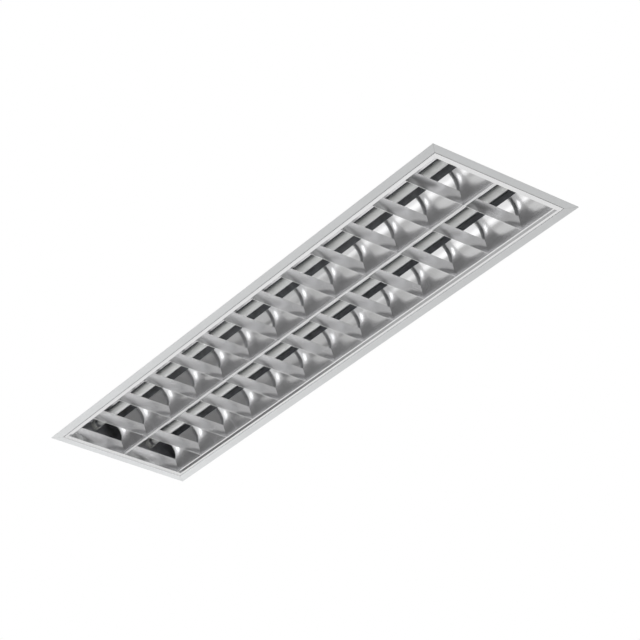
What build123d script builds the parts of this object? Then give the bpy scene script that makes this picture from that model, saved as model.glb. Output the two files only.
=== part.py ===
from build123d import *

import os

# Recessed louvre luminaire for a 1200 x 300 mm ceiling module, with two 16 mm tubes.
# X runs along the lamps, Y across them and Z up, away from the room.
# The origin is the centre of the trim frame's underside, which rests on the ceiling's T-bars.
# Side a is at -Y, where the louvre hinges, and side b is at +Y, where it is caught.
# End 1 is at -X and end 2 at +X.

os.makedirs("parts", exist_ok=True)

# ---------------------------------------------------------------- driving dimensions (mm)

# Trim frame: the visible band that rests on the T-bars
MODULE_LENGTH = 1195.0
MODULE_WIDTH = 295.0
TRIM_BAND = 16.3
TRIM_THICKNESS = 1.2
UPSTAND_HEIGHT = 11.0
UPSTAND_THICKNESS = 0.8
WALL_INSET = 11.5

# Housing: a folded tray closed by two end plates
SHEET = 0.6
HOUSING_HEIGHT = 84.0
SHOULDER_HEIGHT = 40.0
SHOULDER_WIDTH = 21.0
TOP_TAPER = 8.0
END_FLANGE = 10.0
END_FLANGE_INSET = 4.0

# Louvre: folded reflectors, crossed by blades
LOUVRE_GAP = 1.0
LOUVRE_SHEET = 0.6
RIM_WIDTH = 4.7
END_RIM_WIDTH = 10.2
LEDGE_WIDTH = 5.5
LOUVRE_RECESS = 3.0
REFLECTOR_HEIGHT = 40.0
REFLECTOR_INSET = 39.0
REFLECTOR_BULGE = 7.0
SPINE_WIDTH = 4.0
CELL_COUNT = 13
END_CELL_SHORTENING = 6.55
BLADE_HEIGHT = 21.0
BLADE_HALF_WIDTH = 4.5
BLADE_NOSE = 0.4
BLADE_BULGE = 1.2
BLADE_SHEET = 0.5
BLADE_ROOT = 8.0
BLADE_HOLLOW_BULGE = 0.3
JOINT_CLEARANCE = 0.1

# Lamps: glass tubes with a cap and two pins at each end
LAMP_RADIUS = 8.0
LAMP_GLASS = 0.8
LAMP_HEIGHT = 50.6
CAP_LENGTH = 9.0
CAP_LIP = 0.3
PIN_RADIUS = 1.18
PIN_LENGTH = 7.1
PIN_SPACING = 4.75

# Lampholders, each with the rotor that turns with the pins
HOLDER_DEPTH = 10.5
HOLDER_WIDTH = 18.0
HOLDER_GAP = 0.4
HOLDER_HEADROOM = 10.8
ROTOR_RADIUS = 5.6
ROTOR_FLOOR = 0.9
RUNNING_CLEARANCE = 0.08
ENTRY_SLOT = 2.7
HOLDER_SCREW_DROP = 6.0
HOLDER_SCREW_RADIUS = 1.5
HOLDER_SCREW_DEPTH = 6.0

# Louvre hinge: pins in brackets on wall a, and gooseneck hooks on the louvre
HINGE_END_INSET = 197.5
HINGE_INSET = 1.8
HINGE_HEIGHT = 3.05
HINGE_PIN_RADIUS = 1.0
HINGE_PIN_LENGTH = 12.0
KNUCKLE_WALL = 0.52
BRACKET_LENGTH = 22.0
BRACKET_SHEET = 0.8
BRACKET_BOTTOM = 1.5
BRACKET_TOP = 15.0
BRACKET_WINDOW = 9.5
EAR_THICKNESS = 1.0
EAR_CLEARANCE = 0.3
HOOK_WIDTH = 6.0
HOOK_SHEET = 0.8
HOOK_RISE = 5.0
HOOK_REACH = 5.0

# Catches on wall b: spring leaves that grip the louvre's tongues
CATCH_END_INSET = 247.5
CATCH_LENGTH = 20.0
CATCH_BOTTOM = 5.0
CATCH_TOP = 19.0
CATCH_SHEET = 0.5
CATCH_FLARE = 1.5
CATCH_FLARE_HEIGHT = 3.0
TONGUE_LENGTH = 14.0
TONGUE_RISE = 15.0
TONGUE_SHEET = 0.8
TONGUE_CLEARANCE = 0.3

# Swing-out T-bar clips on the housing's shoulders
CLIP_END_INSET = 167.5
CLIP_LENGTH = 34.0
CLIP_WIDTH = 12.0
CLIP_INSET = 10.5
CLIP_SHEET = 1.2
CLIP_PLAY = 0.2
RIVET_SHANK = 2.0
RIVET_CAP_RADIUS = 4.0
RIVET_CAP_HEIGHT = 1.5
RIVET_TAIL_RADIUS = 3.0
RIVET_TAIL_HEIGHT = 1.0

# Control gear and its cover
BALLAST_LENGTH = 340.0
BALLAST_WIDTH = 30.0
BALLAST_HEIGHT = 21.0
BALLAST_TAB = 10.0
BALLAST_TAB_WIDTH = 20.0
BALLAST_TAB_SHEET = 1.0
BALLAST_EDGE = 1.5
COVER_FLANGE = 9.0
COVER_TOP_HALF = 36.0
COVER_BOTTOM_HALF = 22.0
COVER_DEPTH = 26.0
COVER_END_GAP = 14.0
COVER_SCREW_INSET = 80.9

# Mains terminal block, cable entry and earth screw
TERMINAL_GAP = 55.0
TERMINAL_LENGTH = 30.0
TERMINAL_WIDTH = 22.0
TERMINAL_HEIGHT = 17.0
TERMINAL_POLES = 3
TERMINAL_BORE = 1.7
TERMINAL_BORE_DEPTH = 9.0
TERMINAL_SCREW_RADIUS = 2.0
TERMINAL_WELL = 3.0
ENTRY_GAP = 45.0
ENTRY_BORE = 5.0
GROMMET_NECK = 7.0
GROMMET_LIP = 9.5
GROMMET_LIP_HEIGHT = 2.2
EARTH_GAP = 30.0
SCREW_RADIUS = 2.0
SCREW_HEAD_RADIUS = 3.8
SCREW_HEAD_HEIGHT = 2.4
SCREW_CLEARANCE = 0.2
SCREW_TIP = 1.0
NUT_RADIUS = 3.9
NUT_HEIGHT = 3.2
DRIVE_DEPTH = 1.2
DRIVE_WIDTH = 1.0
WASHER_RADIUS = 5.0
WASHER_THICKNESS = 1.0

# Leads inside the housing, and the clips that hold the long ones
LEAD_RADIUS = 1.2
LEAD_BEND = 8.0
LEAD_FIRST_BEND = 3.0
LEAD_DROP = 4.4
LEAD_SPREAD = 19.0
LEAD_RUN_IN = 24.0
LEAD_ENTRY_SPREAD = 11.0
LEAD_ENTRY_DROP = 11.4
LEAD_PITCH = 7.0
LEAD_CLIP_END_INSET = 237.5
LEAD_CLIP_LENGTH = 8.0
LEAD_CLIP_WALL = 1.4

# Suspension holes in the top
SUSPENSION_END_INSET = 97.5
SUSPENSION_SIDE_INSET = 67.5
SUSPENSION_HOLE_RADIUS = 3.25

# Rivets that join the tray, the end plates and the trim frame
RIVET_RADIUS = 1.6
RIVET_HEAD_RADIUS = 3.2
RIVET_HEAD_HEIGHT = 0.9
RIVET_BULB_RADIUS = 2.4
SIDE_RIVET_COUNT = 5
SIDE_RIVET_END_INSET = 137.5
END_RIVET_SIDE_INSET = 67.5
TOP_RIVET_SIDE_INSET = 72.5

# ---------------------------------------------------------------- derived places (mm)

TRIM_INNER_X = MODULE_LENGTH / 2 - TRIM_BAND
TRIM_INNER_Y = MODULE_WIDTH / 2 - TRIM_BAND
WALL_X = MODULE_LENGTH / 2 - WALL_INSET
WALL_Y = MODULE_WIDTH / 2 - WALL_INSET
INNER_X = WALL_X - SHEET
INNER_Y = WALL_Y - SHEET
TOP_INNER = HOUSING_HEIGHT - SHEET
SHOULDER_Y = WALL_Y - SHOULDER_WIDTH
TOP_Y = SHOULDER_Y - TOP_TAPER

LOUVRE_X = TRIM_INNER_X - LOUVRE_GAP
LOUVRE_Y = TRIM_INNER_Y - LOUVRE_GAP
CELLS_X = LOUVRE_X - END_RIM_WIDTH
RIM_INNER_Y = LOUVRE_Y - RIM_WIDTH
RIM_MIDDLE_Y = LOUVRE_Y - RIM_WIDTH / 2
CHANNEL_OUTER_Y = RIM_INNER_Y - LEDGE_WIDTH
CHANNEL_INNER_Y = SPINE_WIDTH / 2
CHANNEL_Y = (CHANNEL_OUTER_Y + CHANNEL_INNER_Y) / 2
CHANNEL_HALF = (CHANNEL_OUTER_Y - CHANNEL_INNER_Y) / 2
LOUVRE_TOP = LOUVRE_RECESS + REFLECTOR_HEIGHT
BLADE_TOP = LOUVRE_RECESS + BLADE_HEIGHT
CELL_PITCH = 2 * (CELLS_X + END_CELL_SHORTENING) / CELL_COUNT
BLADE_PLACES = [CELL_PITCH * (k - CELL_COUNT / 2) for k in range(1, CELL_COUNT)]

HOLDER_FACE_X = INNER_X - HOLDER_DEPTH
LAMP_FACE_X = HOLDER_FACE_X - HOLDER_GAP
ROTOR_DEPTH = PIN_LENGTH - HOLDER_GAP + RUNNING_CLEARANCE + ROTOR_FLOOR
HOLDER_TOP = TOP_INNER - HOLDER_HEADROOM
HOLDER_RISE = HOLDER_TOP - LAMP_HEIGHT
HOLDER_SCREW_Z = HOLDER_TOP - HOLDER_SCREW_DROP

HINGE_Y = HINGE_INSET - INNER_Y
KNUCKLE_RADIUS = HINGE_PIN_RADIUS + RUNNING_CLEARANCE + KNUCKLE_WALL
HINGE_X = MODULE_LENGTH / 2 - HINGE_END_INSET
HINGE_PLACES = [-HINGE_X, HINGE_X]
CATCH_X = MODULE_LENGTH / 2 - CATCH_END_INSET
CATCH_PLACES = [-CATCH_X, CATCH_X]

CLIP_X = MODULE_LENGTH / 2 - CLIP_END_INSET
CLIP_Y = WALL_Y - CLIP_INSET
CLIP_BASE = SHOULDER_HEIGHT + CLIP_PLAY
CLIP_PLACES = [(sx * CLIP_X, sy * CLIP_Y, -sx) for sx in (-1, 1) for sy in (-1, 1)]

BALLAST_X = BALLAST_LENGTH / 2
TERMINAL_X = BALLAST_X + TERMINAL_GAP + TERMINAL_LENGTH / 2
ENTRY_X = TERMINAL_X + TERMINAL_LENGTH / 2 + ENTRY_GAP
EARTH_X = ENTRY_X + EARTH_GAP
COVER_X = HOLDER_FACE_X - COVER_END_GAP
COVER_SCREW_X = COVER_X - COVER_SCREW_INSET
COVER_SCREW_Y = COVER_TOP_HALF + COVER_FLANGE / 2
TERMINAL_Z = TOP_INNER - TERMINAL_HEIGHT / 2
LEAD_Z = TOP_INNER - LEAD_DROP
LEAD_CLIP_X = MODULE_LENGTH / 2 - LEAD_CLIP_END_INSET
TERMINAL_Y = [LEAD_PITCH * (k - (TERMINAL_POLES - 1) / 2) for k in range(TERMINAL_POLES)]

BALLAST_SCREWS = [(s * (BALLAST_X + BALLAST_TAB / 2), 0.0) for s in (-1, 1)]
COVER_SCREWS = [(sx * COVER_SCREW_X, sy * COVER_SCREW_Y) for sx in (-1, 1) for sy in (-1, 1)]
SUSPENSION_X = MODULE_LENGTH / 2 - SUSPENSION_END_INSET
SUSPENSION_Y = MODULE_WIDTH / 2 - SUSPENSION_SIDE_INSET
SUSPENSION_HOLES = [(sx * SUSPENSION_X, sy * SUSPENSION_Y) for sx in (-1, 1) for sy in (-1, 1)]

RIVET_Z = TRIM_THICKNESS + UPSTAND_HEIGHT / 2
SIDE_RIVET_REACH = MODULE_LENGTH / 2 - SIDE_RIVET_END_INSET
SIDE_RIVET_PITCH = 2 * SIDE_RIVET_REACH / (SIDE_RIVET_COUNT - 1)
SIDE_RIVETS = [SIDE_RIVET_PITCH * k - SIDE_RIVET_REACH for k in range(SIDE_RIVET_COUNT)]
END_RIVET_Y = MODULE_WIDTH / 2 - END_RIVET_SIDE_INSET
TOP_RIVET_Y = MODULE_WIDTH / 2 - TOP_RIVET_SIDE_INSET
END_RIVETS = [-END_RIVET_Y, END_RIVET_Y]
TOP_RIVETS = [-TOP_RIVET_Y, TOP_RIVET_Y]

CHANNELS = {"a": -CHANNEL_Y, "b": CHANNEL_Y}
ENDS = {"1": -1, "2": 1}


# ---------------------------------------------------------------- helpers

def save(piece, name):
    """Label a finished piece and write it to its own file."""
    piece.part.label = name
    export_step(piece.part, "parts/" + name + ".step")


def cross_plane(x, y=0.0, z=0.0):
    """Plane across the luminaire at x: its local axes are Y and Z, and it extrudes along +X."""
    return Plane(origin=(x, y, z), x_dir=(0, 1, 0), z_dir=(1, 0, 0))


def side_plane(y, x=0.0, z=0.0):
    """Plane along the luminaire at y: its local axes are X and Z, and it extrudes along -Y."""
    return Plane(origin=(x, y, z), x_dir=(1, 0, 0), z_dir=(0, -1, 0))


def fold(thickness, side):
    """Thicken the open line in progress into a sheet on one side of it."""
    offset(amount=thickness, side=side, kind=Kind.INTERSECTION)


def reflector_curve(centre, outward, clearance=0.0):
    """Visible curve on one side of a channel, from its top down to its bottom edge."""
    bottom = centre + outward * (CHANNEL_HALF - clearance)
    top = centre + outward * (CHANNEL_HALF - REFLECTOR_INSET - clearance)
    return SagittaArc((top, LOUVRE_TOP), (bottom, LOUVRE_RECESS), outward * REFLECTOR_BULGE)


def blade_curve(middle, outward, grow=0.0):
    """Visible curve on one face of a blade, from its top down to its nose."""
    top = middle + outward * (BLADE_HALF_WIDTH + grow)
    bottom = middle + outward * (BLADE_NOSE + grow)
    return SagittaArc((top, BLADE_TOP), (bottom, LOUVRE_RECESS), -outward * BLADE_BULGE)


def keep_between_reflectors():
    """Trim the piece in progress to the space between the two outer reflectors."""
    with BuildSketch(cross_plane(0)) as between:
        with BuildLine():
            left = reflector_curve(CHANNELS["a"], -1, JOINT_CLEARANCE)
            right = reflector_curve(CHANNELS["b"], 1, JOINT_CLEARANCE)
            Line(left @ 0, right @ 0)
            Line(left @ 1, right @ 1)
        make_face()
    extrude(between.sketch, amount=MODULE_LENGTH, both=True, mode=Mode.INTERSECT)


def drill_top(points, radius, bottom, top):
    """Cut a round hole from bottom to top at each point."""
    with BuildSketch(Plane.XY.offset(bottom)) as holes:
        with Locations(*points):
            Circle(radius)
    extrude(holes.sketch, amount=top - bottom, mode=Mode.SUBTRACT)


def rod(plane, radius, length):
    """Round rod that leaves the plane along its normal."""
    with BuildSketch(plane) as disc:
        Circle(radius)
    extrude(disc.sketch, amount=length)


def hanging_screw(x, y, seat, tip):
    """Slotted screw whose head hangs under its seat, its shank rising to the tip."""
    rod(Plane((x, y, seat)), SCREW_HEAD_RADIUS, -SCREW_HEAD_HEIGHT)
    rod(Plane((x, y, seat)), SCREW_RADIUS, tip - seat)
    with BuildSketch(Plane((x, y, seat - SCREW_HEAD_HEIGHT))) as slot:
        Rectangle(2 * SCREW_HEAD_RADIUS, DRIVE_WIDTH)
    extrude(slot.sketch, amount=DRIVE_DEPTH, mode=Mode.SUBTRACT)


def nut(x, y, seat):
    """Hexagon nut on a screw's shank."""
    with BuildSketch(Plane((x, y, seat))) as hexagon:
        RegularPolygon(NUT_RADIUS, 6)
        Circle(SCREW_RADIUS + RUNNING_CLEARANCE, mode=Mode.SUBTRACT)
    extrude(hexagon.sketch, amount=NUT_HEIGHT)


def rivet(plane, grip):
    """Rivet through a grip of sheets: its head stands before the plane and its bulb behind the grip."""
    rod(plane, RIVET_RADIUS, grip)
    rod(plane, RIVET_HEAD_RADIUS, -RIVET_HEAD_HEIGHT)
    rod(plane.offset(grip), RIVET_BULB_RADIUS, RIVET_HEAD_HEIGHT)


def wall_rivet_planes():
    """Planes on the upstand's outer face, one for each rivet, facing into the housing."""
    planes = []
    for sign in (-1, 1):
        for x in SIDE_RIVETS:
            outer_y = sign * (WALL_Y + UPSTAND_THICKNESS)
            planes.append(Plane(origin=(x, outer_y, RIVET_Z), x_dir=(1, 0, 0), z_dir=(0, -sign, 0)))
        for y in END_RIVETS:
            outer_x = sign * (WALL_X + UPSTAND_THICKNESS)
            planes.append(Plane(origin=(outer_x, y, RIVET_Z), x_dir=(0, 1, 0), z_dir=(-sign, 0, 0)))
    return planes


def top_rivet_planes():
    """Planes on the end plates' top flanges, one for each rivet, facing down."""
    places = [(s * (WALL_X - END_FLANGE / 2), y) for s in (-1, 1) for y in TOP_RIVETS]
    height = HOUSING_HEIGHT + SHEET
    return [Plane(origin=(x, y, height), x_dir=(1, 0, 0), z_dir=(0, 0, -1)) for x, y in places]


def drill_rivets():
    """Cut the holes that the rivets pass through."""
    for plane in wall_rivet_planes() + top_rivet_planes():
        with BuildSketch(plane) as hole:
            Circle(RIVET_RADIUS + RUNNING_CLEARANCE)
        extrude(hole.sketch, amount=UPSTAND_THICKNESS + SHEET, mode=Mode.SUBTRACT)


# ---------------------------------------------------------------- trim frame and housing

def make_trim_frame():
    with BuildPart() as trim_frame:
        with BuildSketch():
            Rectangle(MODULE_LENGTH, MODULE_WIDTH)
            Rectangle(2 * TRIM_INNER_X, 2 * TRIM_INNER_Y, mode=Mode.SUBTRACT)
        extrude(amount=TRIM_THICKNESS)
        with BuildSketch(Plane.XY.offset(TRIM_THICKNESS)):
            Rectangle(2 * (WALL_X + UPSTAND_THICKNESS), 2 * (WALL_Y + UPSTAND_THICKNESS))
            Rectangle(2 * WALL_X, 2 * WALL_Y, mode=Mode.SUBTRACT)
        extrude(amount=UPSTAND_HEIGHT)
        drill_rivets()
    save(trim_frame, "trim_frame")


def tray_outline():
    """Outer line of the tray's section, from the foot of wall a to the foot of wall b."""
    return Polyline(
        (-WALL_Y, TRIM_THICKNESS),
        (-WALL_Y, SHOULDER_HEIGHT),
        (-SHOULDER_Y, SHOULDER_HEIGHT),
        (-TOP_Y, HOUSING_HEIGHT),
        (TOP_Y, HOUSING_HEIGHT),
        (SHOULDER_Y, SHOULDER_HEIGHT),
        (WALL_Y, SHOULDER_HEIGHT),
        (WALL_Y, TRIM_THICKNESS),
    )


def make_housing_tray():
    with BuildPart() as housing_tray:
        with BuildSketch(cross_plane(0)):
            with BuildLine():
                tray_outline()
                fold(SHEET, Side.RIGHT)
            make_face()
        extrude(amount=INNER_X, both=True)
        drill_top([(ENTRY_X, 0.0)], GROMMET_NECK + JOINT_CLEARANCE, TOP_INNER, HOUSING_HEIGHT)
        drill_top(SUSPENSION_HOLES, SUSPENSION_HOLE_RADIUS, TOP_INNER, HOUSING_HEIGHT)
        screws = BALLAST_SCREWS + COVER_SCREWS + [(EARTH_X, 0.0)]
        drill_top(screws, SCREW_RADIUS + SCREW_CLEARANCE, TOP_INNER, HOUSING_HEIGHT)
        rivets = [(x, y) for x, y, _ in CLIP_PLACES]
        drill_top(rivets, RIVET_SHANK + RUNNING_CLEARANCE, SHOULDER_HEIGHT - SHEET, SHOULDER_HEIGHT)
        drill_rivets()
    save(housing_tray, "housing_tray")


def make_end_plate(name, sign):
    with BuildPart() as end_plate:
        with BuildSketch(cross_plane(sign * INNER_X)):
            with BuildLine():
                outline = tray_outline()
                Line(outline @ 0, outline @ 1)
            make_face()
        extrude(amount=sign * SHEET)
        with BuildSketch(Plane.XY.offset(HOUSING_HEIGHT)):
            with Locations((sign * (WALL_X - END_FLANGE / 2), 0)):
                Rectangle(END_FLANGE, 2 * (TOP_Y - END_FLANGE_INSET))
        extrude(amount=SHEET)
        drill_rivets()
        for centre in CHANNELS.values():
            with BuildSketch(cross_plane(sign * INNER_X, centre, HOLDER_SCREW_Z)):
                Circle(HOLDER_SCREW_RADIUS + RUNNING_CLEARANCE)
            extrude(amount=sign * SHEET, mode=Mode.SUBTRACT)
    save(end_plate, "end_plate_" + name)


def make_frame_rivets():
    with BuildPart() as frame_rivets:
        for plane in wall_rivet_planes():
            rivet(plane, UPSTAND_THICKNESS + SHEET)
        for plane in top_rivet_planes():
            rivet(plane, 2 * SHEET)
    save(frame_rivets, "frame_rivets")


# ---------------------------------------------------------------- louvre

def make_louvre_side(name, sign):
    """Outer reflector with the ledge and the visible rim folded onto its bottom edge."""
    edge = [
        (sign * CHANNEL_OUTER_Y, LOUVRE_RECESS),
        (sign * RIM_INNER_Y, LOUVRE_RECESS),
        (sign * RIM_INNER_Y, 0),
        (sign * LOUVRE_Y, 0),
    ]
    upper_side = Side.LEFT if sign > 0 else Side.RIGHT
    with BuildPart() as louvre_side:
        with BuildSketch(cross_plane(0)):
            with BuildLine():
                reflector_curve(CHANNELS[name], sign)
                Polyline(*edge)
                fold(LOUVRE_SHEET, upper_side)
            make_face()
        extrude(amount=CELLS_X - JOINT_CLEARANCE, both=True)
        with BuildSketch(cross_plane(0)):
            with BuildLine():
                Polyline(*edge)
                fold(LOUVRE_SHEET, upper_side)
            make_face()
        extrude(amount=LOUVRE_X, both=True)
    save(louvre_side, "louvre_side_" + name)


def end_curve(sign, clearance=0.0):
    """Visible curve of an end reflector, from its top down to its bottom edge."""
    bottom = sign * (CELLS_X - clearance)
    top = bottom - sign * (BLADE_HALF_WIDTH - BLADE_NOSE)
    return SagittaArc((top, BLADE_TOP), (bottom, LOUVRE_RECESS), sign * BLADE_BULGE)


def make_louvre_spine():
    """Centre reflector of both channels, folded from one sheet and slotted for the blades."""
    with BuildPart() as louvre_spine:
        with BuildSketch(cross_plane(0)):
            with BuildLine():
                right = reflector_curve(CHANNELS["b"], -1)
                left = reflector_curve(CHANNELS["a"], 1)
                Line(right @ 1, left @ 1)
                fold(LOUVRE_SHEET, Side.RIGHT)
            make_face()
        extrude(amount=CELLS_X, both=True)
        for sign in ENDS.values():
            with BuildSketch(side_plane(0)):
                with BuildLine():
                    curve = end_curve(sign, JOINT_CLEARANCE)
                    Polyline(
                        curve @ 1,
                        (sign * LOUVRE_X, LOUVRE_RECESS),
                        (sign * LOUVRE_X, LOUVRE_TOP + REFLECTOR_BULGE),
                        (sign * (CELLS_X - BLADE_HALF_WIDTH), LOUVRE_TOP + REFLECTOR_BULGE),
                        curve @ 0,
                    )
                make_face()
            extrude(amount=LOUVRE_Y, both=True, mode=Mode.SUBTRACT)
        for x in BLADE_PLACES:
            with BuildSketch(side_plane(0)):
                with BuildLine():
                    near = blade_curve(x, -1, JOINT_CLEARANCE)
                    far = blade_curve(x, 1, JOINT_CLEARANCE)
                    Line(near @ 0, far @ 0)
                    Line(near @ 1, far @ 1)
                make_face()
            extrude(amount=LOUVRE_Y, both=True, mode=Mode.SUBTRACT)
    save(louvre_spine, "louvre_spine")


def make_cross_blade(name, x):
    """Folded blade: its two faces are pressed together at the root and flare to the top."""
    with BuildPart() as cross_blade:
        with BuildSketch(side_plane(0)):
            with BuildLine():
                near = blade_curve(x, -1)
                far = blade_curve(x, 1)
                Line(near @ 0, far @ 0)
                Line(near @ 1, far @ 1)
            make_face()
            with BuildLine():
                hollow_top = BLADE_HALF_WIDTH - BLADE_SHEET
                root = (x, LOUVRE_RECESS + BLADE_ROOT)
                SagittaArc((x - hollow_top, BLADE_TOP), root, BLADE_HOLLOW_BULGE)
                SagittaArc((x + hollow_top, BLADE_TOP), root, -BLADE_HOLLOW_BULGE)
                Line((x - hollow_top, BLADE_TOP), (x + hollow_top, BLADE_TOP))
            make_face(mode=Mode.SUBTRACT)
        extrude(amount=LOUVRE_Y, both=True)
        keep_between_reflectors()
    save(cross_blade, "cross_blade_" + name)


def make_louvre_end(name, sign):
    """End reflector with the wide rim folded onto its bottom edge."""
    with BuildPart() as louvre_end:
        with BuildSketch(side_plane(0)):
            with BuildLine():
                end_curve(sign)
                fold(LOUVRE_SHEET, Side.LEFT if sign > 0 else Side.RIGHT)
            make_face()
        extrude(amount=LOUVRE_Y, both=True)
        keep_between_reflectors()
        with BuildSketch(side_plane(0)):
            with BuildLine():
                Polyline(
                    (sign * CELLS_X, LOUVRE_RECESS),
                    (sign * CELLS_X, 0),
                    (sign * LOUVRE_X, 0),
                )
                fold(LOUVRE_SHEET, Side.LEFT if sign > 0 else Side.RIGHT)
            make_face()
        extrude(amount=RIM_INNER_Y - JOINT_CLEARANCE, both=True)
    save(louvre_end, "louvre_end_" + name)


# ---------------------------------------------------------------- louvre hinge and catches

def make_hinge_brackets():
    """Brackets on wall a, each with a window for the hook and an ear on each side of it."""
    half_window = HOOK_WIDTH / 2 + EAR_CLEARANCE
    with BuildPart() as hinge_brackets:
        for x in HINGE_PLACES:
            with BuildSketch(side_plane(-INNER_Y)):
                with Locations((x, (BRACKET_BOTTOM + BRACKET_TOP) / 2)):
                    Rectangle(BRACKET_LENGTH, BRACKET_TOP - BRACKET_BOTTOM)
                with Locations((x, (BRACKET_BOTTOM + BRACKET_WINDOW) / 2)):
                    Rectangle(2 * half_window, BRACKET_WINDOW - BRACKET_BOTTOM, mode=Mode.SUBTRACT)
            extrude(amount=-BRACKET_SHEET)
            for start in (x - half_window - EAR_THICKNESS, x + half_window):
                with BuildSketch(cross_plane(start)):
                    with Locations((HINGE_Y, HINGE_HEIGHT)):
                        Circle(KNUCKLE_RADIUS - JOINT_CLEARANCE)
                    with Locations((BRACKET_SHEET / 2 - INNER_Y, (BRACKET_BOTTOM + BRACKET_WINDOW) / 2)):
                        Rectangle(BRACKET_SHEET, BRACKET_WINDOW - BRACKET_BOTTOM)
                    make_hull()
                    with Locations((HINGE_Y, HINGE_HEIGHT)):
                        Circle(HINGE_PIN_RADIUS + RUNNING_CLEARANCE / 2, mode=Mode.SUBTRACT)
                extrude(amount=EAR_THICKNESS)
    save(hinge_brackets, "hinge_brackets")


def make_hinge_pins():
    with BuildPart() as hinge_pins:
        for x in HINGE_PLACES:
            start = cross_plane(x - HINGE_PIN_LENGTH / 2, HINGE_Y, HINGE_HEIGHT)
            rod(start, HINGE_PIN_RADIUS, HINGE_PIN_LENGTH)
    save(hinge_pins, "hinge_pins")


def make_louvre_hooks():
    """Gooseneck hooks: they turn on the pins, reach over the trim frame's edge and stand on the rim."""
    rim_top = LOUVRE_SHEET - HINGE_HEIGHT
    foot_end = -(RIM_INNER_Y + LOUVRE_SHEET + JOINT_CLEARANCE) - HINGE_Y
    with BuildPart() as louvre_hooks:
        for x in HINGE_PLACES:
            with BuildSketch(cross_plane(x, HINGE_Y, HINGE_HEIGHT)):
                with BuildLine():
                    Polyline(
                        (-HOOK_SHEET / 2, 0),
                        (-HOOK_SHEET / 2, HOOK_RISE),
                        (HOOK_REACH, HOOK_RISE),
                        (HOOK_REACH, rim_top + HOOK_SHEET),
                        (foot_end, rim_top + HOOK_SHEET),
                    )
                    fold(HOOK_SHEET, Side.RIGHT)
                make_face()
                Circle(KNUCKLE_RADIUS)
                Circle(HINGE_PIN_RADIUS + RUNNING_CLEARANCE, mode=Mode.SUBTRACT)
            extrude(amount=HOOK_WIDTH / 2, both=True)
    save(louvre_hooks, "louvre_hooks")


def make_catch_clips():
    """Spring strips on wall b: a leg on the wall, a bridge, and a leaf beside the louvre's tongue."""
    leaf = RIM_MIDDLE_Y - TONGUE_SHEET / 2 - TONGUE_CLEARANCE - CATCH_SHEET
    with BuildPart() as catch_clips:
        for x in CATCH_PLACES:
            with BuildSketch(cross_plane(x)):
                with BuildLine():
                    Polyline(
                        (INNER_Y, CATCH_BOTTOM),
                        (INNER_Y, CATCH_TOP),
                        (leaf, CATCH_TOP),
                        (leaf, CATCH_BOTTOM + CATCH_FLARE_HEIGHT),
                        (leaf - CATCH_FLARE, CATCH_BOTTOM),
                    )
                    fold(CATCH_SHEET, Side.LEFT)
                make_face()
            extrude(amount=CATCH_LENGTH / 2, both=True)
    save(catch_clips, "catch_clips")


def make_catch_tongues():
    """Angle pieces on the louvre's rim, whose upright legs enter the catches."""
    with BuildPart() as catch_tongues:
        for x in CATCH_PLACES:
            with BuildSketch(cross_plane(x)):
                with BuildLine():
                    upright = RIM_MIDDLE_Y - TONGUE_SHEET / 2
                    Polyline(
                        (upright, LOUVRE_SHEET + TONGUE_RISE),
                        (upright, LOUVRE_SHEET),
                        (LOUVRE_Y - JOINT_CLEARANCE, LOUVRE_SHEET),
                    )
                    fold(TONGUE_SHEET, Side.LEFT)
                make_face()
            extrude(amount=TONGUE_LENGTH / 2, both=True)
    save(catch_tongues, "catch_tongues")


# ---------------------------------------------------------------- T-bar clips

def make_tbar_clip(name, x, y, direction):
    """Flat clip that turns on its rivet; at rest it lies along the shoulder towards the middle."""
    reach = CLIP_LENGTH - CLIP_WIDTH
    with BuildPart() as tbar_clip:
        with BuildSketch(Plane.XY.offset(CLIP_BASE)):
            with Locations((x + direction * reach / 2, y)):
                SlotCenterToCenter(reach, CLIP_WIDTH)
            with Locations((x, y)):
                Circle(RIVET_SHANK + RUNNING_CLEARANCE, mode=Mode.SUBTRACT)
        extrude(amount=CLIP_SHEET)
    save(tbar_clip, "tbar_clip_" + name)


def make_clip_rivets():
    head_base = CLIP_BASE + CLIP_SHEET + CLIP_PLAY
    tail_top = SHOULDER_HEIGHT - SHEET
    with BuildPart() as clip_rivets:
        for x, y, _ in CLIP_PLACES:
            rod(Plane((x, y, tail_top)), RIVET_SHANK, head_base - tail_top)
            rod(Plane((x, y, head_base)), RIVET_CAP_RADIUS, RIVET_CAP_HEIGHT)
            rod(Plane((x, y, tail_top)), RIVET_TAIL_RADIUS, -RIVET_TAIL_HEIGHT)
    save(clip_rivets, "clip_rivets")


# ---------------------------------------------------------------- lamps and lampholders

def make_lamp(name, centre):
    tube_half = LAMP_FACE_X - CAP_LENGTH
    with BuildPart() as lamp_tube:
        with BuildSketch(cross_plane(0, centre, LAMP_HEIGHT)):
            Circle(LAMP_RADIUS)
            Circle(LAMP_RADIUS - LAMP_GLASS, mode=Mode.SUBTRACT)
        extrude(amount=tube_half, both=True)
    save(lamp_tube, "lamp_tube_" + name)

    with BuildPart() as lamp_caps:
        for sign in ENDS.values():
            tube_end = cross_plane(sign * tube_half, centre, LAMP_HEIGHT)
            rod(tube_end, LAMP_RADIUS + CAP_LIP, sign * CAP_LENGTH)
            with BuildSketch(cross_plane(sign * LAMP_FACE_X, centre, LAMP_HEIGHT)):
                with Locations((-PIN_SPACING / 2, 0), (PIN_SPACING / 2, 0)):
                    Circle(PIN_RADIUS)
            extrude(amount=sign * PIN_LENGTH)
    save(lamp_caps, "lamp_caps_" + name)


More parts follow.
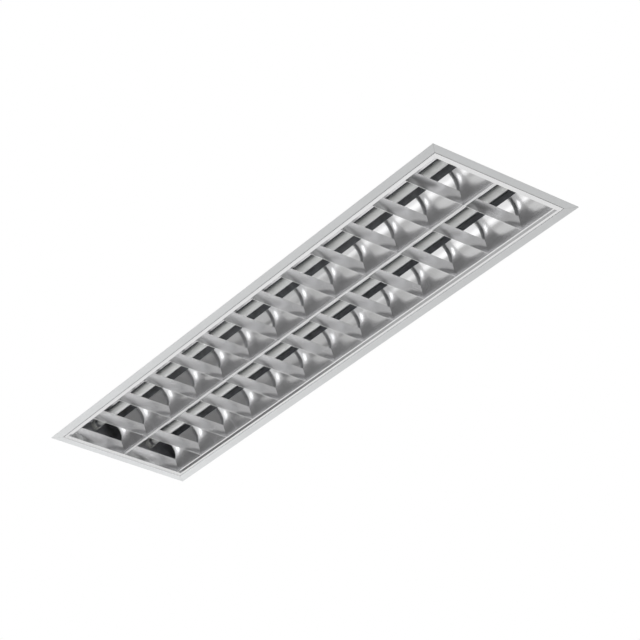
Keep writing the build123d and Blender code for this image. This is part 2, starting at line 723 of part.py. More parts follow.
def make_rotors(name, centre):
    """Contact rotors of one lamp, their slots level as they are with the lamp locked in."""
    with BuildPart() as rotors:
        for sign in ENDS.values():
            face = sign * (HOLDER_FACE_X + JOINT_CLEARANCE)
            rod(cross_plane(face, centre, LAMP_HEIGHT), ROTOR_RADIUS, sign * ROTOR_DEPTH)
            with BuildSketch(cross_plane(face, centre, LAMP_HEIGHT)):
                Rectangle(2 * ROTOR_RADIUS, 2 * (PIN_RADIUS + RUNNING_CLEARANCE))
            extrude(amount=sign * (ROTOR_DEPTH - ROTOR_FLOOR), mode=Mode.SUBTRACT)
    save(rotors, "holder_rotors_" + name)


def make_lampholder(name, centre, sign):
    """Holder on an end plate: a round nose about the lamp's axis, a rotor bore and an entry slot below."""
    face = sign * HOLDER_FACE_X
    with BuildPart() as lampholder:
        with BuildSketch(cross_plane(face, centre, LAMP_HEIGHT)):
            Circle(HOLDER_WIDTH / 2)
            with Locations((0, HOLDER_RISE / 2)):
                Rectangle(HOLDER_WIDTH, HOLDER_RISE)
        extrude(amount=sign * HOLDER_DEPTH)
        with BuildSketch(cross_plane(face, centre, LAMP_HEIGHT)):
            Circle(ROTOR_RADIUS + RUNNING_CLEARANCE)
        extrude(amount=sign * (ROTOR_DEPTH + 2 * JOINT_CLEARANCE), mode=Mode.SUBTRACT)
        with BuildSketch(cross_plane(face, centre, LAMP_HEIGHT)):
            with Locations((0, -HOLDER_WIDTH / 4)):
                Rectangle(ENTRY_SLOT, HOLDER_WIDTH / 2)
        extrude(amount=sign * PIN_LENGTH, mode=Mode.SUBTRACT)
        with BuildSketch(cross_plane(sign * INNER_X, centre, HOLDER_SCREW_Z)):
            Circle(HOLDER_SCREW_RADIUS + RUNNING_CLEARANCE)
        extrude(amount=-sign * (HOLDER_SCREW_DEPTH + JOINT_CLEARANCE), mode=Mode.SUBTRACT)
    save(lampholder, "lampholder_" + name)


def make_holder_screws():
    """Screws that enter the lampholders through the end plates."""
    with BuildPart() as holder_screws:
        for sign in ENDS.values():
            for centre in CHANNELS.values():
                tip = cross_plane(sign * (INNER_X - HOLDER_SCREW_DEPTH), centre, HOLDER_SCREW_Z)
                seat = cross_plane(sign * WALL_X, centre, HOLDER_SCREW_Z)
                rod(tip, HOLDER_SCREW_RADIUS, sign * (HOLDER_SCREW_DEPTH + SHEET))
                rod(seat, 2 * HOLDER_SCREW_RADIUS, sign * HOLDER_SCREW_RADIUS)
    save(holder_screws, "holder_screws")


# ---------------------------------------------------------------- control gear

def make_ballast():
    """Slim electronic gear case with a fixing tab at each end."""
    with BuildPart() as ballast:
        with BuildSketch(cross_plane(0, 0, TOP_INNER - BALLAST_HEIGHT / 2)):
            RectangleRounded(BALLAST_WIDTH, BALLAST_HEIGHT, BALLAST_EDGE)
        extrude(amount=BALLAST_X, both=True)
        with BuildSketch(Plane.XY.offset(TOP_INNER)):
            Rectangle(BALLAST_LENGTH + 2 * BALLAST_TAB, BALLAST_TAB_WIDTH)
        extrude(amount=-BALLAST_TAB_SHEET)
        drill_top(BALLAST_SCREWS, SCREW_RADIUS + SCREW_CLEARANCE, TOP_INNER - BALLAST_TAB_SHEET, TOP_INNER)
    save(ballast, "ballast")


def make_gear_cover():
    with BuildPart() as gear_cover:
        with BuildSketch(cross_plane(0)):
            with BuildLine():
                Polyline(
                    (-COVER_TOP_HALF - COVER_FLANGE, TOP_INNER),
                    (-COVER_TOP_HALF, TOP_INNER),
                    (-COVER_BOTTOM_HALF, TOP_INNER - COVER_DEPTH),
                    (COVER_BOTTOM_HALF, TOP_INNER - COVER_DEPTH),
                    (COVER_TOP_HALF, TOP_INNER),
                    (COVER_TOP_HALF + COVER_FLANGE, TOP_INNER),
                )
                fold(SHEET, Side.RIGHT)
            make_face()
        extrude(amount=COVER_X, both=True)
        drill_top(COVER_SCREWS, SCREW_RADIUS + SCREW_CLEARANCE, TOP_INNER - SHEET, TOP_INNER)
    save(gear_cover, "gear_cover")


def make_terminal_block():
    bottom = TOP_INNER - TERMINAL_HEIGHT
    wells = [(TERMINAL_X, y) for y in TERMINAL_Y]
    with BuildPart() as terminal_block:
        with BuildSketch(Plane.XY.offset(bottom)):
            with Locations((TERMINAL_X, 0)):
                Rectangle(TERMINAL_LENGTH, TERMINAL_WIDTH)
        extrude(amount=TERMINAL_HEIGHT)
        drill_top(wells, TERMINAL_SCREW_RADIUS + RUNNING_CLEARANCE, bottom, bottom + TERMINAL_WELL)
        for sign in ENDS.values():
            with BuildSketch(cross_plane(TERMINAL_X + sign * TERMINAL_LENGTH / 2)):
                with Locations(*[(y, TERMINAL_Z) for y in TERMINAL_Y]):
                    Circle(TERMINAL_BORE)
            extrude(amount=-sign * TERMINAL_BORE_DEPTH, mode=Mode.SUBTRACT)
    save(terminal_block, "terminal_block")

    with BuildPart() as terminal_screws:
        with BuildSketch(Plane.XY.offset(bottom + DRIVE_DEPTH / 2)):
            with Locations(*wells):
                Circle(TERMINAL_SCREW_RADIUS)
        extrude(amount=TERMINAL_WELL - DRIVE_DEPTH / 2)
        with BuildSketch(Plane.XY.offset(bottom + DRIVE_DEPTH / 2)):
            with Locations(*wells):
                Rectangle(2 * TERMINAL_SCREW_RADIUS, DRIVE_WIDTH)
        extrude(amount=DRIVE_DEPTH, mode=Mode.SUBTRACT)
    save(terminal_screws, "terminal_screws")


def make_cable_grommet():
    top = HOUSING_HEIGHT + GROMMET_LIP_HEIGHT
    bottom = TOP_INNER - GROMMET_LIP_HEIGHT
    with BuildPart() as cable_grommet:
        rod(Plane((ENTRY_X, 0, bottom)), GROMMET_NECK, top - bottom)
        rod(Plane((ENTRY_X, 0, bottom)), GROMMET_LIP, GROMMET_LIP_HEIGHT)
        rod(Plane((ENTRY_X, 0, HOUSING_HEIGHT)), GROMMET_LIP, GROMMET_LIP_HEIGHT)
        drill_top([(ENTRY_X, 0.0)], ENTRY_BORE, bottom, top)
    save(cable_grommet, "cable_grommet")


def make_fasteners():
    tip = HOUSING_HEIGHT + NUT_HEIGHT + SCREW_TIP
    with BuildPart() as housing_screws:
        for x, y in BALLAST_SCREWS:
            hanging_screw(x, y, TOP_INNER - BALLAST_TAB_SHEET, tip)
        for x, y in COVER_SCREWS:
            hanging_screw(x, y, TOP_INNER - SHEET, tip)
    save(housing_screws, "housing_screws")

    with BuildPart() as housing_nuts:
        for x, y in BALLAST_SCREWS + COVER_SCREWS + [(EARTH_X, 0.0)]:
            nut(x, y, HOUSING_HEIGHT)
    save(housing_nuts, "housing_nuts")

    with BuildPart() as earth_screw:
        hanging_screw(EARTH_X, 0.0, TOP_INNER - WASHER_THICKNESS, tip)
        rod(Plane((EARTH_X, 0, TOP_INNER)), WASHER_RADIUS, -WASHER_THICKNESS)
    save(earth_screw, "earth_screw")


# ---------------------------------------------------------------- leads

def lead(points, radii):
    """Round lead along straight runs joined by tangent arcs."""
    with BuildLine() as route:
        FilletPolyline(*points, radius=radii)
    with BuildSketch(Plane(origin=route.line @ 0, z_dir=route.line % 0)) as section:
        Circle(LEAD_RADIUS)
    sweep(section.sketch, path=route.line)


def make_lamp_leads():
    """One twin lead from each lampholder's top, under the gear cover, to the gear's end."""
    holder_x = (HOLDER_FACE_X + INNER_X) / 2
    entry_z = TOP_INNER - LEAD_ENTRY_DROP
    run_end = BALLAST_X + LEAD_RUN_IN
    run_middle = BALLAST_X + LEAD_RUN_IN / 2
    with BuildPart() as lamp_leads:
        for sx in ENDS.values():
            for centre in CHANNELS.values():
                sy = 1 if centre > 0 else -1
                points = [
                    (sx * holder_x, centre, HOLDER_TOP),
                    (sx * holder_x, centre, LEAD_Z),
                    (sx * holder_x, sy * LEAD_SPREAD, LEAD_Z),
                    (sx * run_end, sy * LEAD_SPREAD, LEAD_Z),
                    (sx * run_middle, sy * LEAD_ENTRY_SPREAD, entry_z),
                    (sx * BALLAST_X, sy * LEAD_ENTRY_SPREAD, entry_z),
                ]
                lead(points, [LEAD_FIRST_BEND, LEAD_BEND, LEAD_BEND, LEAD_BEND])
    save(lamp_leads, "lamp_leads")


def make_supply_leads():
    """Short leads from the terminal block's bores to the gear's end."""
    start = BALLAST_X
    end = TERMINAL_X - TERMINAL_LENGTH / 2 + TERMINAL_BORE_DEPTH
    with BuildPart() as supply_leads:
        for y in TERMINAL_Y:
            rod(cross_plane(start, y, TERMINAL_Z), LEAD_RADIUS, end - start)
    save(supply_leads, "supply_leads")


def make_lead_clips():
    """Saddles under the housing's top that carry the long runs of the lamp leads."""
    half = LEAD_RADIUS + RUNNING_CLEARANCE + LEAD_CLIP_WALL
    with BuildPart() as lead_clips:
        for sx in (-1, 1):
            for sy in (-1, 1):
                start = sx * LEAD_CLIP_X - LEAD_CLIP_LENGTH / 2
                with BuildSketch(cross_plane(start, sy * LEAD_SPREAD, LEAD_Z)):
                    with Locations((0, (TOP_INNER - LEAD_Z - half) / 2)):
                        Rectangle(2 * half, TOP_INNER - LEAD_Z + half)
                    Circle(LEAD_RADIUS + RUNNING_CLEARANCE, mode=Mode.SUBTRACT)
                extrude(amount=LEAD_CLIP_LENGTH)
    save(lead_clips, "lead_clips")


# ---------------------------------------------------------------- build

make_trim_frame()
make_housing_tray()
make_frame_rivets()
make_louvre_spine()
make_hinge_brackets()
make_hinge_pins()
make_louvre_hooks()
make_catch_clips()
make_catch_tongues()
make_clip_rivets()
make_holder_screws()
make_ballast()
make_gear_cover()
make_terminal_block()
make_cable_grommet()
make_fasteners()
make_lamp_leads()
make_supply_leads()
make_lead_clips()

for end_name, end_sign in ENDS.items():
    make_end_plate(end_name, end_sign)
    make_louvre_end(end_name, end_sign)

for side_name, channel_centre in CHANNELS.items():
    make_louvre_side(side_name, 1 if channel_centre > 0 else -1)
    make_lamp(side_name, channel_centre)
    make_rotors(side_name, channel_centre)
    for end_name, end_sign in ENDS.items():
        make_lampholder(side_name + end_name, channel_centre, end_sign)

for blade_number, blade_x in enumerate(BLADE_PLACES, start=1):
    make_cross_blade(f"{blade_number:02d}", blade_x)

for clip_number, (clip_x, clip_y, clip_direction) in enumerate(CLIP_PLACES, start=1):
    make_tbar_clip(str(clip_number), clip_x, clip_y, clip_direction)
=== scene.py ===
# Looks of a recessed louvre luminaire, seen from the room below it.
# The frame is in metres: +X along the lamps, +Y across them, +Z up into the ceiling void.

import math

import bpy
from mathutils import Matrix, Vector


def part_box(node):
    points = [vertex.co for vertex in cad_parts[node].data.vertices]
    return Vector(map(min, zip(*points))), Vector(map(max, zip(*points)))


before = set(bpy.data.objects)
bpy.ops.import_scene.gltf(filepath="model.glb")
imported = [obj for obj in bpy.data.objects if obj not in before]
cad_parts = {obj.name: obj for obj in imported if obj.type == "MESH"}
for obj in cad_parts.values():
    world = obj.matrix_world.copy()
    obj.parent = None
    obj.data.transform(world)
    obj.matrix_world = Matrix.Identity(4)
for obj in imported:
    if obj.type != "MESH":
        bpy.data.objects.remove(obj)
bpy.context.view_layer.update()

# ---------------------------------------------------------------- measures (m)

_, TRIM_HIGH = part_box("trim_frame")
_, TUBE_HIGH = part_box("lamp_tube_a")
_, CAP_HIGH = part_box("lamp_caps_a")
PIN_LENGTH = 0.0071
CAP_FACE_TOLERANCE = 0.0001
WORN_LENGTH = 0.035
MITRE_OFFSET = TRIM_HIGH.x - TRIM_HIGH.y
MITRE_WIDTH = 0.0004
SPINE_FOLD = 0.0024
LEAD_HALF_PITCH = 0.0035

CAMERA_PLACE = Vector((-3.04725, 2.02691, -2.20210))
CAMERA_AIM = Vector((0.70513, -0.48198, 0.52008))
CAMERA_TOP = Vector((-0.41648, 0.31209, 0.85390))
CAMERA_LENS = 136.83
CAMERA_SENSOR = 36.0
CAMERA_RANGE = 100.0

FLOOR_DROP = 6.0
FLOOR_SIDE = 160.0
FLOOR_COLOUR = (0.80, 0.80, 0.79)
WORLD_LEVEL = 0.6
CEILING_Z = 0.0014
CEILING_SIDE = 6.0
CEILING_END_GAP = 0.0012
CEILING_SIDE_OVERLAP = 0.0100

# The side card's corners as azimuth and elevation in degrees, and the end card's two corners
FLAG_DISTANCE = 5.0
SIDE_FLAG = ((96, 12), (164, 12), (158, -10), (140, -34), (124, -54), (96, -54))
END_FLAG = (Vector((1.5, -0.2, -1.2)), Vector((1.5, 0.9, -0.12)))

# Lamps that reflections don't show: place, width, height and level
LIGHT_AIM = (0.0, 0.0, 0.03)
LAMPS = {
    "side_lamp_a": ((2.0, -1.2, -0.8), 1.0, 0.8, 8.5),
    "side_lamp_b": ((2.0, 1.2, -0.8), 1.0, 0.8, 8.0),
    "above": ((-1.2, -1.8, 3.4), 3.0, 3.0, 2.0),
}

# Soft cards that reflections show: place, aim, width, height and level
CARDS = {
    "front_card": ((-1.52, 1.06, -2.85), LIGHT_AIM, 1.0, 0.85, 2.0),
    "rim_card": ((2.05, -1.6, -1.97), LIGHT_AIM, 2.6, 2.0, 0.36),
    "near_card": ((1.2, 0.66, -1.67), (-0.4, 0.0, 0.03), 0.8, 0.45, 0.4),
    "side_card": ((0.7, 1.5, -0.75), (0.7, 0.0, -0.75), 1.4, 1.3, 0.15),
    "low_card": ((0.25, 0.0, -0.95), (0.25, 0.0, 0.0), 0.9, 0.9, 0.38),
}

# ---------------------------------------------------------------- colours

WHITE_PAINT = (0.71, 0.72, 0.73)
ALUMINIUM = (0.86, 0.86, 0.87)
ZINC = (0.60, 0.61, 0.63)
SPRING_STEEL = (0.42, 0.43, 0.45)
BRASS = (0.74, 0.55, 0.26)
PHOSPHOR = (0.89, 0.90, 0.89)
WHITE_PLASTIC = (0.82, 0.82, 0.79)
GREY_PLASTIC = (0.62, 0.63, 0.62)
RUBBER = (0.025, 0.025, 0.027)
INSULATION = (0.74, 0.74, 0.72)
LEAD_BROWN = (0.16, 0.06, 0.03)
LEAD_GREEN = (0.08, 0.32, 0.06)
LEAD_BLUE = (0.03, 0.12, 0.42)
PURE_WHITE = (1.0, 1.0, 1.0, 1.0)
SIDE_FLAG_GREY = (0.16, 0.16, 0.16)
END_FLAG_GREY = (0.24, 0.24, 0.24)


# ---------------------------------------------------------------- material tools

NOISE_RANGE = (0.3, 0.7)
FULL_RANGE = (0.0, 1.0)

# Sockets of a Mix node that mixes colours
MIX_SHARE, MIX_FIRST, MIX_SECOND, MIX_RESULT = 0, 6, 7, 2


class Finish:
    """One Principled material with its procedural nodes, laid out in the frame's metres."""

    def __init__(self, name, colour, roughness, metallic=0.0, **constants):
        self.material = bpy.data.materials.new(name)
        self.material.use_nodes = True
        self.tree = self.material.node_tree
        self.shader = self.tree.nodes["Principled BSDF"]
        self.shader.inputs["Base Color"].default_value = (*colour, 1.0)
        self.shader.inputs["Roughness"].default_value = roughness
        self.shader.inputs["Metallic"].default_value = metallic
        for socket, value in constants.items():
            self.shader.inputs[socket.replace("_", " ").title()].default_value = value
        self.place = self.add("ShaderNodeTexCoord").outputs["Object"]

    def add(self, kind, **settings):
        node = self.tree.nodes.new(kind)
        for name, value in settings.items():
            setattr(node, name, value)
        return node

    def feed(self, socket, value):
        """Link an output to a socket, or set the socket to a constant."""
        if isinstance(value, bpy.types.NodeSocket):
            self.tree.links.new(value, socket)
        else:
            socket.default_value = value

    def stretched(self, scales):
        """The place vector scaled along each axis, so that a texture runs along one."""
        mapping = self.add("ShaderNodeMapping")
        self.feed(mapping.inputs["Vector"], self.place)
        mapping.inputs["Scale"].default_value = scales
        return mapping.outputs["Vector"]

    def noise(self, scales, detail=2.0):
        """Noise from 0 to 1, with this many features to a metre along each axis."""
        node = self.add("ShaderNodeTexNoise")
        self.feed(node.inputs["Vector"], self.stretched(scales))
        node.inputs["Scale"].default_value = 1.0
        node.inputs["Detail"].default_value = detail
        return node.outputs["Fac"]

    def cells(self, scale):
        """A random value from 0 to 1 for each crystal of a metre-wide pattern."""
        node = self.add("ShaderNodeTexVoronoi")
        self.feed(node.inputs["Vector"], self.place)
        node.inputs["Scale"].default_value = scale
        grey = self.add("ShaderNodeSeparateColor")
        self.feed(grey.inputs["Color"], node.outputs["Color"])
        return grey.outputs["Red"]

    def spread(self, value, low, high, source=NOISE_RANGE):
        """Map a source range of a value to low and high, and stop there."""
        node = self.add("ShaderNodeMapRange")
        self.feed(node.inputs["Value"], value)
        node.inputs["From Min"].default_value = source[0]
        node.inputs["From Max"].default_value = source[1]
        node.inputs["To Min"].default_value = low
        node.inputs["To Max"].default_value = high
        return node.outputs["Result"]

    def maths(self, operation, first, second=0.0):
        node = self.add("ShaderNodeMath", operation=operation)
        self.feed(node.inputs[0], first)
        self.feed(node.inputs[1], second)
        return node.outputs["Value"]

    def axis(self, name, size=False):
        """One coordinate of the place, or its distance from the middle."""
        split = self.add("ShaderNodeSeparateXYZ")
        self.feed(split.inputs["Vector"], self.place)
        return self.maths("ABSOLUTE", split.outputs[name]) if size else split.outputs[name]

    def facing(self, name):
        """How far the surface faces along an axis, either way, from 0 to 1."""
        geometry = self.add("ShaderNodeNewGeometry")
        split = self.add("ShaderNodeSeparateXYZ")
        self.feed(split.inputs["Vector"], geometry.outputs["Normal"])
        return self.maths("ABSOLUTE", split.outputs[name])

    def blend(self, share, first, second):
        """A colour that goes from first to second with the share."""
        node = self.add("ShaderNodeMix", data_type="RGBA")
        self.feed(node.inputs[MIX_SHARE], share)
        for socket, value in ((MIX_FIRST, first), (MIX_SECOND, second)):
            linked = isinstance(value, bpy.types.NodeSocket)
            self.feed(node.inputs[socket], value if linked else (*value, 1.0))
        return node.outputs[MIX_RESULT]

    def colour(self, value):
        self.feed(self.shader.inputs["Base Color"], value)

    def roughness(self, value):
        self.feed(self.shader.inputs["Roughness"], value)

    def metallic(self, value):
        self.feed(self.shader.inputs["Metallic"], value)

    def relief(self, *layers):
        """Bump from layers of (height, depth in metres), added one over the other."""
        normal = None
        for height, depth in layers:
            bump = self.add("ShaderNodeBump")
            bump.inputs["Strength"].default_value = 1.0
            bump.inputs["Distance"].default_value = depth
            self.feed(bump.inputs["Height"], height)
            if normal is not None:
                self.feed(bump.inputs["Normal"], normal)
            normal = bump.outputs["Normal"]
        self.feed(self.shader.inputs["Normal"], normal)


def shade(colour, factor):
    """The colour made darker or lighter by a factor."""
    return tuple(min(1.0, c * factor) for c in colour)


# ---------------------------------------------------------------- materials

def powder_coat():
    """Satin white powder coat with fine orange peel, faint dust and mitred corner seams."""
    finish = Finish("powder_coat", WHITE_PAINT, 0.36)
    dust = finish.spread(finish.noise((9, 9, 9), 4.0), 0.0, 1.0)
    paint = finish.blend(dust, shade(WHITE_PAINT, 0.965), shade(WHITE_PAINT, 1.02))
    off_mitre = finish.maths("SUBTRACT", finish.axis("X", True), finish.axis("Y", True))
    off_mitre = finish.maths("SUBTRACT", off_mitre, MITRE_OFFSET)
    off_mitre = finish.maths("ABSOLUTE", off_mitre)
    seam = finish.spread(off_mitre, 1.0, 0.0, (0.0, MITRE_WIDTH))
    finish.colour(finish.blend(seam, paint, shade(WHITE_PAINT, 0.55)))
    finish.roughness(finish.spread(finish.noise((40, 40, 40), 3.0), 0.32, 0.42))
    peel = finish.noise((700, 700, 700), 1.0)
    finish.relief((peel, 0.00002), (seam, -0.0002))
    return finish.material


def louvre_aluminium(name, along, roughness, metallic=1.0, fold=None):
    """Anodised reflector sheet with faint rolling lines along the strip and a few smudges.

    A fold is the half width of a duller strip along the middle, where the sheet is bent.
    """
    finish = Finish(name, ALUMINIUM, roughness, metallic=metallic)
    fine = [1500.0, 1500.0, 1500.0]
    fine["XYZ".index(along)] = 6.0
    broad = [260.0, 260.0, 260.0]
    broad["XYZ".index(along)] = 2.0
    lines = finish.noise(fine, 3.0)
    bands = finish.noise(broad, 2.0)
    smudge = finish.noise((28, 28, 28), 3.0)
    finish.colour(finish.blend(bands, shade(ALUMINIUM, 0.97), shade(ALUMINIUM, 1.03)))
    base = finish.spread(smudge, roughness - 0.03, roughness + 0.04)
    grain = finish.spread(lines, -0.02, 0.03)
    rough = finish.maths("ADD", base, grain)
    if fold:
        bent = finish.spread(finish.axis("Y", True), 0.3, 0.0, (fold, fold * 1.5))
        rough = finish.maths("ADD", rough, bent)
    finish.roughness(rough)
    finish.relief((lines, 0.0000015), (bands, 0.000006))
    return finish.material


def galvanised_steel():
    """Hot-dipped sheet with soft crystal spangle and a dull zinc bloom."""
    finish = Finish("galvanised_steel", ZINC, 0.42, metallic=1.0)
    spangle = finish.cells(130.0)
    crystals = finish.spread(spangle, 0.0, 1.0, FULL_RANGE)
    finish.colour(finish.blend(crystals, shade(ZINC, 0.90), shade(ZINC, 1.06)))
    bloom = finish.noise((14, 14, 14), 4.0)
    rough = finish.spread(bloom, 0.34, 0.52)
    facet = finish.spread(spangle, -0.05, 0.06, FULL_RANGE)
    finish.roughness(finish.maths("ADD", rough, facet))
    finish.relief((finish.noise((350, 350, 350), 3.0), 0.00001))
    return finish.material


def zinc_plate(name="zinc_plate", colour=ZINC, roughness=0.28):
    """Bright zinc plate on small steel parts, duller where it was handled."""
    finish = Finish(name, colour, roughness, metallic=1.0)
    bloom = finish.noise((120, 120, 120), 3.0)
    finish.colour(finish.blend(bloom, shade(colour, 0.92), shade(colour, 1.08)))
    finish.roughness(finish.spread(bloom, roughness - 0.06, roughness + 0.1))
    finish.relief((finish.noise((900, 900, 900), 2.0), 0.000008))
    return finish.material


def phosphor_glass():
    """Glass tube with a white phosphor lining, greyer in the last centimetres at its caps."""
    finish = Finish("phosphor_glass", PHOSPHOR, 0.5, coat_weight=1.0, coat_roughness=0.04)
    to_cap = finish.axis("X", True)
    worn = finish.spread(to_cap, 0.0, 1.0, (TUBE_HIGH.x - WORN_LENGTH, TUBE_HIGH.x))
    mottle = finish.noise((60, 60, 60), 3.0)
    lining = finish.blend(mottle, shade(PHOSPHOR, 0.975), shade(PHOSPHOR, 1.02))
    finish.colour(finish.blend(worn, lining, shade(PHOSPHOR, 0.72)))
    return finish.material


def lamp_cap():
    """Drawn aluminium cap with a pale insulator in its face and brass pins."""
    finish = Finish("lamp_cap", ALUMINIUM, 0.3, metallic=1.0)
    face_x = CAP_HIGH.x - PIN_LENGTH
    pin = finish.maths("GREATER_THAN", finish.axis("X", True), face_x + CAP_FACE_TOLERANCE)
    on_face = finish.maths("GREATER_THAN", finish.axis("X", True), face_x - CAP_FACE_TOLERANCE)
    flat = finish.maths("GREATER_THAN", finish.facing("X"), 0.9)
    insulator = finish.maths("MULTIPLY", finish.maths("MULTIPLY", on_face, flat),
                             finish.maths("SUBTRACT", 1.0, pin))
    metal = finish.blend(pin, shade(ALUMINIUM, 0.85), BRASS)
    finish.colour(finish.blend(insulator, metal, WHITE_PLASTIC))
    finish.metallic(finish.maths("SUBTRACT", 1.0, insulator))
    finish.relief((finish.noise((20, 900, 900), 2.0), 0.000006))
    return finish.material


def moulded(name, colour, roughness):
    """Moulded plastic with a faint satin grain."""
    finish = Finish(name, colour, roughness)
    cloud = finish.noise((90, 90, 90), 3.0)
    finish.colour(finish.blend(cloud, shade(colour, 0.96), shade(colour, 1.02)))
    finish.roughness(finish.spread(cloud, roughness - 0.05, roughness + 0.08))
    finish.relief((finish.noise((1600, 1600, 1600), 2.0), 0.000008))
    return finish.material


def gear_paint():
    """White painted steel case."""
    finish = Finish("gear_paint", shade(WHITE_PAINT, 0.97), 0.34)
    dust = finish.noise((35, 35, 35), 4.0)
    finish.colour(finish.blend(dust, shade(WHITE_PAINT, 0.93), shade(WHITE_PAINT, 1.0)))
    finish.roughness(finish.spread(dust, 0.3, 0.42))
    finish.relief((finish.noise((800, 800, 800), 1.0), 0.000015))
    return finish.material


def supply_insulation():
    """Insulation of the three short leads: brown, green and blue, by their place across."""
    finish = Finish("supply_insulation", LEAD_GREEN, 0.42)
    across = finish.axis("Y")
    brown = finish.maths("LESS_THAN", across, -LEAD_HALF_PITCH)
    blue = finish.maths("GREATER_THAN", across, LEAD_HALF_PITCH)
    mixed = finish.blend(brown, LEAD_GREEN, LEAD_BROWN)
    finish.colour(finish.blend(blue, mixed, LEAD_BLUE))
    finish.roughness(finish.spread(finish.noise((300, 300, 300)), 0.36, 0.5))
    return finish.material


def dress(material, *names):
    """Give the named nodes of the frame this material alone."""
    for name in names:
        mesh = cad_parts[name].data
        mesh.materials.clear()
        mesh.materials.append(material)


def dress_frame():
    """Give each node of the frame its finish."""
    blades = [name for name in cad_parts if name.startswith("cross_blade_")]
    clips = [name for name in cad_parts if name.startswith("tbar_clip_")]
    holders = [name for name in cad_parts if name.startswith("lampholder_")]
    dress(powder_coat(), "trim_frame")
    dress(galvanised_steel(), "housing_tray", "end_plate_1", "end_plate_2", "gear_cover")
    dress(louvre_aluminium("louvre_strip", "X", 0.15), "louvre_side_a", "louvre_side_b")
    dress(louvre_aluminium("louvre_spine", "X", 0.15, fold=SPINE_FOLD), "louvre_spine")
    dress(louvre_aluminium("louvre_end", "Y", 0.22), "louvre_end_1", "louvre_end_2")
    dress(louvre_aluminium("louvre_blade", "Y", 0.22, 0.85), *blades)
    dress(zinc_plate(), "hinge_brackets", "hinge_pins", "louvre_hooks", "catch_tongues",
          "clip_rivets", "holder_screws", "housing_screws", "housing_nuts", "terminal_screws",
          *clips)
    dress(zinc_plate("spring_strip", SPRING_STEEL, 0.3), "catch_clips")
    dress(zinc_plate("rivet_aluminium", shade(ALUMINIUM, 0.85), 0.34), "frame_rivets")
    dress(zinc_plate("brass", BRASS, 0.25), "earth_screw")
    dress(phosphor_glass(), "lamp_tube_a", "lamp_tube_b")
    dress(lamp_cap(), "lamp_caps_a", "lamp_caps_b")
    dress(moulded("white_plastic", WHITE_PLASTIC, 0.28), *holders)
    dress(moulded("rotor_plastic", GREY_PLASTIC, 0.4), "holder_rotors_a", "holder_rotors_b")
    dress(moulded("terminal_plastic", shade(WHITE_PLASTIC, 0.95), 0.35), "terminal_block")
    dress(moulded("clip_plastic", shade(WHITE_PLASTIC, 1.02), 0.4), "lead_clips")
    dress(moulded("lead_insulation", INSULATION, 0.45), "lamp_leads")
    dress(moulded("grommet_rubber", RUBBER, 0.55), "cable_grommet")
    dress(gear_paint(), "ballast")
    dress(supply_insulation(), "supply_leads")


# ---------------------------------------------------------------- stage, light and camera

def put_in_scene(name, data):
    """Object with this mesh, light or camera, linked to the scene."""
    item = bpy.data.objects.new(name, data)
    bpy.context.scene.collection.objects.link(item)
    return item


def sheet(name, corners, faces, hidden_from=()):
    """Flat mesh of these faces, hidden from the named kinds of ray."""
    mesh = bpy.data.meshes.new(name)
    mesh.from_pydata(corners, [], faces)
    item = put_in_scene(name, mesh)
    for ray in hidden_from:
        setattr(item, "visible_" + ray, False)
    return item


def rectangle(half_x, half_y, z):
    """Corners of a level rectangle round the middle, anticlockwise from above."""
    return [(-half_x, -half_y, z), (half_x, -half_y, z), (half_x, half_y, z), (-half_x, half_y, z)]


def make_floor():
    """Plain pale floor far below the ceiling, so that views from below stay clear of it."""
    half = FLOOR_SIDE / 2
    floor = sheet("floor", rectangle(half, half, -FLOOR_DROP), [(0, 1, 2, 3)])
    finish = Finish("floor_paint", FLOOR_COLOUR, 0.8)
    patches = finish.noise((0.6, 0.6, 0.6), 3.0)
    finish.colour(finish.blend(patches, shade(FLOOR_COLOUR, 0.98), shade(FLOOR_COLOUR, 1.02)))
    floor.data.materials.append(finish.material)


def make_flag(name, corners, colour):
    """Grey card that only reflections show, to keep the curves of bare metal readable."""
    face = tuple(range(len(corners)))
    flag = sheet(name, corners, [face], ("camera", "diffuse", "shadow"))
    flag.data.materials.append(Finish(name + "_cloth", colour, 0.9).material)


def make_flags():
    """One dark card far off at the camera's side, and one near the far end of the lamps."""
    corners = []
    for azimuth, elevation in SIDE_FLAG:
        turn, rise = math.radians(azimuth), math.radians(elevation)
        flat = FLAG_DISTANCE * math.cos(rise)
        height = FLAG_DISTANCE * math.sin(rise)
        corners.append((flat * math.cos(turn), flat * math.sin(turn), height))
    make_flag("side_flag", corners, SIDE_FLAG_GREY)
    low, high = END_FLAG
    places = ((low.y, low.z), (high.y, low.z), (high.y, high.z), (low.y, high.z))
    make_flag("end_flag", [(low.x, y, z) for y, z in places], END_FLAG_GREY)


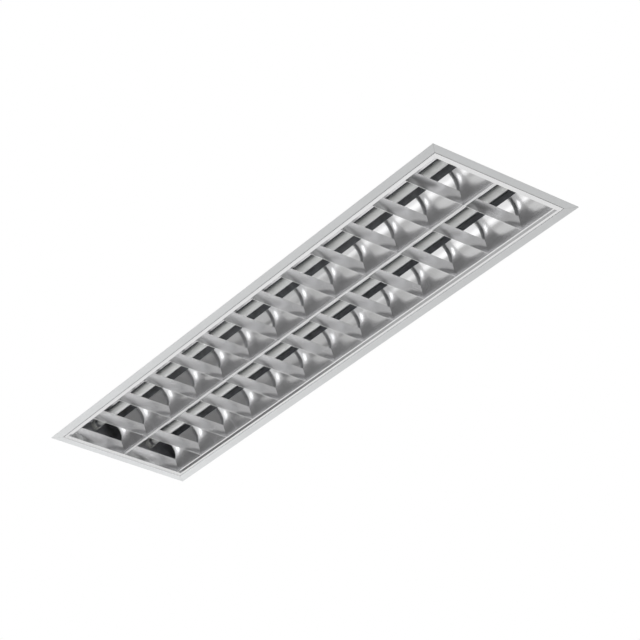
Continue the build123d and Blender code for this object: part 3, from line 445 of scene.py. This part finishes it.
def make_ceiling():
    """White ceiling round the housing, which only the camera sees, and only from the room."""
    _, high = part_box("housing_tray")
    hole_x, hole_y = high.x + CEILING_END_GAP, TRIM_HIGH.y - CEILING_SIDE_OVERLAP
    half = CEILING_SIDE / 2
    corners = rectangle(half, half, CEILING_Z) + rectangle(hole_x, hole_y, CEILING_Z)
    faces = [(4 + k, 4 + (k + 1) % 4, (k + 1) % 4, k) for k in range(4)]
    ceiling = sheet("ceiling", corners, faces, ("diffuse", "glossy", "transmission", "shadow"))
    material = bpy.data.materials.new("ceiling_white")
    material.use_nodes = True
    tree = material.node_tree
    tree.nodes.clear()
    side = tree.nodes.new("ShaderNodeNewGeometry").outputs["Backfacing"]
    white = tree.nodes.new("ShaderNodeEmission")
    clear = tree.nodes.new("ShaderNodeBsdfTransparent")
    mix = tree.nodes.new("ShaderNodeMixShader")
    output = tree.nodes.new("ShaderNodeOutputMaterial")
    tree.links.new(side, mix.inputs["Fac"])
    tree.links.new(white.outputs["Emission"], mix.inputs[1])
    tree.links.new(clear.outputs["BSDF"], mix.inputs[2])
    tree.links.new(mix.outputs["Shader"], output.inputs["Surface"])
    ceiling.data.materials.append(material)


def make_world():
    """White where the camera, a reflection or glass shows it, and an even level elsewhere."""
    world = bpy.data.worlds.new("studio")
    bpy.context.scene.world = world
    world.use_nodes = True
    tree = world.node_tree
    tree.nodes.clear()
    light_path = tree.nodes.new("ShaderNodeLightPath")
    seen = light_path.outputs["Is Camera Ray"]
    for name in ("Is Glossy Ray", "Is Transmission Ray"):
        either = tree.nodes.new("ShaderNodeMath")
        either.operation = "MAXIMUM"
        tree.links.new(seen, either.inputs[0])
        tree.links.new(light_path.outputs[name], either.inputs[1])
        seen = either.outputs["Value"]
    level = tree.nodes.new("ShaderNodeBackground")
    level.inputs["Color"].default_value = PURE_WHITE
    level.inputs["Strength"].default_value = WORLD_LEVEL
    white = tree.nodes.new("ShaderNodeBackground")
    white.inputs["Color"].default_value = PURE_WHITE
    mix = tree.nodes.new("ShaderNodeMixShader")
    output = tree.nodes.new("ShaderNodeOutputWorld")
    tree.links.new(seen, mix.inputs["Fac"])
    tree.links.new(level.outputs["Background"], mix.inputs[1])
    tree.links.new(white.outputs["Background"], mix.inputs[2])
    tree.links.new(mix.outputs["Shader"], output.inputs["Surface"])


def softbox(name, place, aim, width, height, level, glossy=True):
    """Rectangular lamp at a place, aimed at a point, which a mirror shows at this level."""
    light = bpy.data.lights.new(name, "AREA")
    light.shape = "RECTANGLE"
    light.size = width
    light.size_y = height
    light.energy = level * math.pi * width * height
    lamp = put_in_scene(name, light)
    lamp.location = place
    lamp.rotation_mode = "QUATERNION"
    lamp.rotation_quaternion = (Vector(aim) - Vector(place)).to_track_quat("-Z", "Y")
    lamp.visible_camera = False
    lamp.visible_glossy = glossy
    return lamp


def make_lights():
    """Lamps that light painted and matt surfaces, and soft cards that reflections show."""
    for name, (place, width, height, level) in LAMPS.items():
        softbox(name, place, LIGHT_AIM, width, height, level, glossy=False)
    made = {name: softbox(name, *measures) for name, measures in CARDS.items()}
    made["low_card"].visible_diffuse = False


def make_camera():
    """Camera at the place, aim and focal length that fit the photo's view of the trim."""
    camera = put_in_scene("camera", bpy.data.cameras.new("camera"))
    aim = CAMERA_AIM.normalized()
    right = aim.cross(CAMERA_TOP).normalized()
    top = right.cross(aim)
    turn = Matrix((right, top, -aim)).transposed().to_4x4()
    camera.matrix_world = Matrix.Translation(CAMERA_PLACE) @ turn
    camera.data.lens = CAMERA_LENS
    camera.data.sensor_width = CAMERA_SENSOR
    camera.data.clip_end = CAMERA_RANGE
    bpy.context.scene.camera = camera


bpy.context.scene.view_settings.view_transform = "Standard"
make_camera()
make_world()
make_floor()
make_ceiling()
make_flags()
make_lights()
dress_frame()
